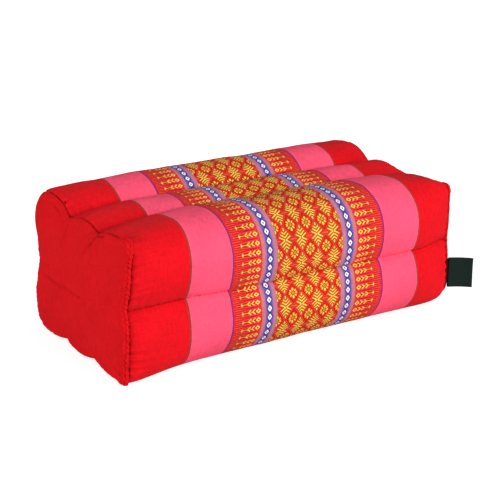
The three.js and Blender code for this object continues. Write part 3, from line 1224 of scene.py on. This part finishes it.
def new_cloth(name, roughness, sheen, sheen_tint):
    material = bpy.data.materials.new(name)
    material.use_nodes = True
    tree = material.node_tree
    shader = tree.nodes["Principled BSDF"]
    shader.inputs["Roughness"].default_value = roughness
    shader.inputs["Specular IOR Level"].default_value = 0.07
    shader.inputs["Sheen Weight"].default_value = sheen
    shader.inputs["Sheen Roughness"].default_value = 0.45
    shader.inputs["Sheen Tint"].default_value = sheen_tint
    weave = tree.nodes.new("ShaderNodeGroup")
    weave.node_tree = weave_group
    bump = tree.nodes.new("ShaderNodeBump")
    bump.inputs["Strength"].default_value = 0.6
    bump.inputs["Distance"].default_value = BUMP_HEIGHT * MM
    tree.links.new(weave.outputs["Height"], bump.inputs["Height"])
    tree.links.new(bump.outputs["Normal"], shader.inputs["Normal"])
    return material, tree, shader, weave


def shade_colour(tree, colour, shade):
    """Darken or lighten a colour by the shade of the weave."""
    grey = tree.nodes.new("ShaderNodeCombineColor")
    place_inputs(tree, grey, ((socket, shade) for socket in grey.inputs))
    return mix_node(tree, 1.0, colour, grey.outputs["Color"], "MULTIPLY")


print("materials so far:", len(bpy.data.materials))


# %% The patterned cloth of the wrap
FIELD_EDGE = 34.9
COMB_EDGES = (51.2, 79.9)
BAND_MIDDLE = 43.1
STAR_COLUMN = 8.7
ROWS_ROUND = 28
ROW_PITCH = CLOTH_GIRTH / ROWS_ROUND
ROW_START = cloth_round(512.0)
SMALL_PITCH = ROW_PITCH / 3
SMALL_START = cloth_round(514.4)
WIDEST = 176.0
STRIPES = (
    (0.0, "bright"),
    (34.9, "lavender"),
    (36.5, "orange"),
    (38.5, "lilac"),
    (39.5, "violet"),
    (46.7, "lilac"),
    (47.7, "orange"),
    (49.7, "lavender"),
    (51.2, "bright"),
    (79.9, "purple"),
    (81.4, "pink"),
    (121.3, "olive"),
    (122.5, "red"),
)

material, tree, shader, weave = new_cloth("woven_wrap", 0.85, 0.025, (1.0, 0.6, 0.55, 1.0))
uv = tree.nodes.new("ShaderNodeUVMap")
uv.uv_map = "cloth"
split = tree.nodes.new("ShaderNodeSeparateXYZ")
tree.links.new(uv.outputs["UV"], split.inputs[0])
across = math_node(tree, "MULTIPLY", math_node(tree, "SUBTRACT", split.outputs["X"], 0.5), LENGTH)
around = math_node(tree, "MULTIPLY", split.outputs["Y"], CLOTH_GIRTH)
tree.links.new(pair_node(tree, across, around), weave.inputs["Place"])
aside = math_node(tree, "ABSOLUTE", across)


def repeat(value, pitch, start):
    """How far a value is from the nearest repeat of a motif."""
    return math_node(tree, "PINGPONG", math_node(tree, "SUBTRACT", value, start), pitch / 2)


stripe_place = math_node(tree, "DIVIDE", aside, WIDEST)
colour = stripes_node(tree, stripe_place, [(x / WIDEST, THREADS[thread]) for x, thread in STRIPES])
print("stripes on each side of the middle:", len(STRIPES))

# %% The ground of the field: a red lattice of diamonds
SHADOW_HALF = 0.25
LINE_OFFSET = 0.085
LINE_HALF = 0.055
from_column = repeat(across, 2 * STAR_COLUMN, 0.0)
to_star_x = math_node(tree, "SUBTRACT", STAR_COLUMN, from_column)
to_star_y = repeat(around, ROW_PITCH, ROW_START)
to_rosette_y = math_node(tree, "SUBTRACT", ROW_PITCH / 2, to_star_y)
in_field = below(tree, aside, FIELD_EDGE, 0.1)
lattice = math_node(
    tree, "ADD",
    math_node(tree, "DIVIDE", to_star_x, STAR_COLUMN),
    math_node(tree, "DIVIDE", to_star_y, ROW_PITCH / 2),
)
off_line = math_node(tree, "ABSOLUTE", math_node(tree, "SUBTRACT", lattice, 1.0))
shadow = math_node(tree, "MULTIPLY", below(tree, off_line, SHADOW_HALF, 0.05), in_field)
field = mix_node(tree, shadow, colour, THREADS["maroon"])
double_line = math_node(tree, "ABSOLUTE", math_node(tree, "SUBTRACT", off_line, LINE_OFFSET))
line_mask = math_node(tree, "MULTIPLY", below(tree, double_line, LINE_HALF, 0.02), in_field)
field = mix_node(tree, line_mask, field, THREADS["flame"])
field = weave_bars(tree, field, from_column, to_star_y, LINK_BARS, in_field)
field = weave_bars(tree, field, to_star_x, to_star_y, STAR_BARS, in_field)
field = weave_bars(tree, field, from_column, to_rosette_y, ROSETTE_BARS, in_field)
print("rows of stars round the cloth:", ROWS_ROUND)

# %% The borders: a band of small diamonds and rows of combs
COMB_INSET = 0.7
RIB_SLANT = 0.05
RIB_PITCH = 2.05
RIB_THREADS = ((0.0, "maroon"), (0.28, "flame"), (0.6, "crimson"))
BAND_HALF = 3.5
small_row = repeat(around, SMALL_PITCH, SMALL_START)
comb_x = math_node(tree, "SUBTRACT", aside, COMB_EDGES[0] - COMB_INSET)
past_band = inverse(tree, below(tree, aside, COMB_EDGES[0], 0.1))
in_comb = math_node(tree, "MULTIPLY", below(tree, aside, COMB_EDGES[1], 0.1), past_band)
slanted = math_node(tree, "MULTIPLY_ADD", comb_x, RIB_SLANT, small_row)
rib_place = math_node(tree, "FRACT", math_node(tree, "DIVIDE", slanted, RIB_PITCH))
ribs = stripes_node(tree, rib_place, [(share, THREADS[thread]) for share, thread in RIB_THREADS])
field = mix_node(tree, in_comb, field, ribs)
field = weave_bars(tree, field, comb_x, small_row, COMB_BARS, in_comb)
band_x = math_node(tree, "ABSOLUTE", math_node(tree, "SUBTRACT", aside, BAND_MIDDLE))
in_band = below(tree, band_x, BAND_HALF, 0.1)
field = weave_bars(tree, field, band_x, small_row, BAND_BARS, in_band)
print("combs round the cloth:", round(CLOTH_GIRTH / SMALL_PITCH))

# %% Painted shade at the bottom of the channels, at their ends and in the folds by the left seam
# The cloth lies folded against itself along each row of stitches, so little light gets there.
PLAIN_LOSS = 0.2
RED_LOSS = 0.3
KNOT_LOSS = 0.4
# painted shade where the wrap is folded beside the left seam, in a dark hole and in a slit at that seam, as
# bars along and round the cloth
WRAP_FOLD_SHADE = (
    (0.8 - HALF, cloth_round(2.0), 0.8 - HALF, cloth_round(104.0), 0.3, "fold_shade"),
    (0.8 - HALF, cloth_round(556.0), 0.8 - HALF, cloth_round(598.0), 0.3, "fold_shade"),
    (2.9 - HALF, cloth_round(66.0), 2.9 - HALF, cloth_round(66.4), 1.2, "fold_shade"),
    (1.8 - HALF, cloth_round(524.0), 1.4 - HALF, cloth_round(536.0), 0.8, "fold_shade"),
)
CHANNEL_LINES = [float(start) + 2 * TAKE_UP * index for index, start in enumerate(ROLL_STARTS)]
to_channel = around
for line in CHANNEL_LINES[1:]:
    gap = math_node(tree, "ABSOLUTE", math_node(tree, "SUBTRACT", around, line))
    to_channel = math_node(tree, "MINIMUM", to_channel, gap)
in_red = inverse(tree, below(tree, aside, STRIPES[-1][0], 0.4))
depth = math_node(tree, "MULTIPLY_ADD", in_red, RED_LOSS, PLAIN_LOSS)
lost = math_node(tree, "MULTIPLY", below(tree, to_channel, 0.9, 0.6), depth)
# painted shade round the ends of the channels, where they are gathered into the seams
to_knot = vector_node(tree, "LENGTH", pair_node(tree, math_node(tree, "SUBTRACT", aside, HALF), to_channel))
knot_loss = math_node(tree, "MULTIPLY", below(tree, to_knot, 2.4, 1.8), KNOT_LOSS)
lost = math_node(tree, "MAXIMUM", lost, knot_loss)
# paint the shade of the folds by the left seam into the colour of the wrap
field = weave_bars(tree, field, across, around, WRAP_FOLD_SHADE, softness=0.7)
shade = math_node(tree, "MULTIPLY", weave.outputs["Shade"], inverse(tree, lost))
tree.links.new(shade_colour(tree, field, shade), shader.inputs["Base Color"])
wrap.data.materials.clear()
wrap.data.materials.append(material)
print("wrap material:", len(tree.nodes), "nodes")

# %% [markdown]
# ## Plain cloth, ribbon and thread
# The end panels are the same cotton in one deep red, with shade painted along their folds.
# The ribbon of the tag is a satin, so it is smoother and a little glossy, and the thread
# is a twisted cotton in the red of the wrap.

# %% Plain materials
# the shade in the folds of each end, from y, z to y, z in mm and half as wide as this
END_FOLDS = {
    -1: (
        (74, 59.0, -14, 56.8, 0.6, "fold_shade"),
        (-36, 119.5, -23, 105, 0.75, "fold_shade"),
        (-47, 120, -37, 117.5, 0.8, "fold_shade"),
    ),
    1: ((84, 66, 50, 62, 0.5, "fold_shade"), (-84, 66, -58, 60, 0.5, "fold_shade")),
}


def plain_cloth(name, colour, roughness, sheen, tint, pieces, axes, folds=()):
    material, tree, shader, weave = new_cloth(name, roughness, sheen, tint)
    place = tree.nodes.new("ShaderNodeTexCoord")
    split = tree.nodes.new("ShaderNodeSeparateXYZ")
    tree.links.new(place.outputs["Object"], split.inputs[0])
    first, second = (math_node(tree, "DIVIDE", split.outputs[axis], MM) for axis in axes)
    tree.links.new(pair_node(tree, first, second), weave.inputs["Place"])
    # painted shade along the folds of the end panels, laid into their colour
    colour = weave_bars(tree, colour, first, second, folds, softness=0.9)
    tree.links.new(shade_colour(tree, colour, weave.outputs["Shade"]), shader.inputs["Base Color"])
    for piece in pieces:
        piece.data.materials.clear()
        piece.data.materials.append(material)


END_RED = rgb(206, 14, 22)
END_TINT = (1.0, 0.5, 0.5, 1.0)
TAG_GREEN = rgb(14, 30, 26)
TAG_TINT = (0.8, 0.9, 0.9, 1.0)
THREAD_RED = rgb(206, 18, 26)
THREAD_TINT = (1.0, 0.7, 0.7, 1.0)
for side, name in END_NAMES.items():
    cotton = f"end_cotton_{name}"
    plain_cloth(cotton, END_RED, 0.9, 0.015, END_TINT, [panels[side]], ("Y", "Z"), END_FOLDS[side])
plain_cloth("tag_satin", TAG_GREEN, 0.5, 0.02, TAG_TINT, [tag], ("X", "Z"))
plain_cloth("sewing_thread", THREAD_RED, 0.7, 0.05, THREAD_TINT, [stitches], ("X", "Y"))
print("materials:", [material.name for material in bpy.data.materials])

# %% [markdown]
# ## Floor and light
# The cushion stands on a plain white floor. A wide soft light from the front right gives the
# bright front and top, a second from the left gives the end, and the white surroundings fill
# the rest. The floor glows a little less near the cushion, so a faint shadow shows there and
# nowhere else.

# %% Stage
FLOOR_SIZE = 8
NEAR_GLOW = 0.73
FAR_GLOW = 0.95
GLOW_REACH = 0.3
GLOW_BLEND = 0.08
GLOW_STRETCH = (1.0, 1.7, 1.0)
SKY_LIGHT = 0.25
LIGHT_AIM = (0, 0, 0.05)

deselect_all()
bpy.ops.mesh.primitive_plane_add(size=FLOOR_SIZE, location=(0, 0, 0))
floor = bpy.context.object
floor.name = "floor"
paper = bpy.data.materials.new("floor_paper")
paper.use_nodes = True
tree = paper.node_tree
shader = tree.nodes["Principled BSDF"]
shader.inputs["Base Color"].default_value = (0.62, 0.62, 0.62, 1.0)
shader.inputs["Roughness"].default_value = 0.9
shader.inputs["Emission Color"].default_value = (1, 1, 1, 1)
seen = tree.nodes.new("ShaderNodeLightPath")
spot = tree.nodes.new("ShaderNodeTexCoord")
stretched = vector_node(tree, "MULTIPLY", spot.outputs["Object"], GLOW_STRETCH)
near = below(tree, vector_node(tree, "LENGTH", stretched), GLOW_REACH, GLOW_BLEND)
glow = math_node(tree, "MULTIPLY_ADD", near, NEAR_GLOW - FAR_GLOW, FAR_GLOW)
glow = math_node(tree, "MULTIPLY", seen.outputs["Is Camera Ray"], glow)
tree.links.new(glow, shader.inputs["Emission Strength"])
floor.data.materials.append(paper)


def soft_light(name, place, size, watts):
    bpy.ops.object.light_add(type="AREA", location=place)
    lamp = bpy.context.object
    lamp.name = name
    lamp.data.shape = "DISK"
    lamp.data.size = size
    lamp.data.energy = watts
    direction = [p - a for p, a in zip(place, LIGHT_AIM)]
    flat = math.hypot(direction[0], direction[1])
    lamp.rotation_euler = (math.atan2(flat, direction[2]), 0, math.atan2(direction[0], -direction[1]))


soft_light("front_light", (0.7, -2.2, 0.88), size=1.1, watts=58)
soft_light("side_light", (-2.4, -0.25, 0.85), size=1.2, watts=43)
world = bpy.data.worlds.new("studio")
bpy.context.scene.world = world
world.use_nodes = True
backdrop = world.node_tree.nodes["Background"]
backdrop.inputs["Color"].default_value = (1, 1, 1, 1)
seen = world.node_tree.nodes.new("ShaderNodeLightPath")
camera_ray = seen.outputs["Is Camera Ray"]
glow = math_node(world.node_tree, "MULTIPLY_ADD", camera_ray, 1 - SKY_LIGHT, SKY_LIGHT)
world.node_tree.links.new(glow, backdrop.inputs["Strength"])
bpy.context.scene.view_settings.view_transform = "Standard"

# %% [markdown]
# ## Fixing the pieces to the frame
# Every piece rides on the one body, and stands for the plain solid that it covers.

# %% Fix the pieces to the frame
for piece, node, slot in (
    (wrap, "cushion_body", "wrap_cloth"),
    (panels[-1], "end_panel_left", "end_cloth"),
    (panels[1], "end_panel_right", "end_cloth"),
    (tag, "tag", "tag_tape"),
):
    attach(piece, "root")
    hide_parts(node)
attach(stitches, "root")
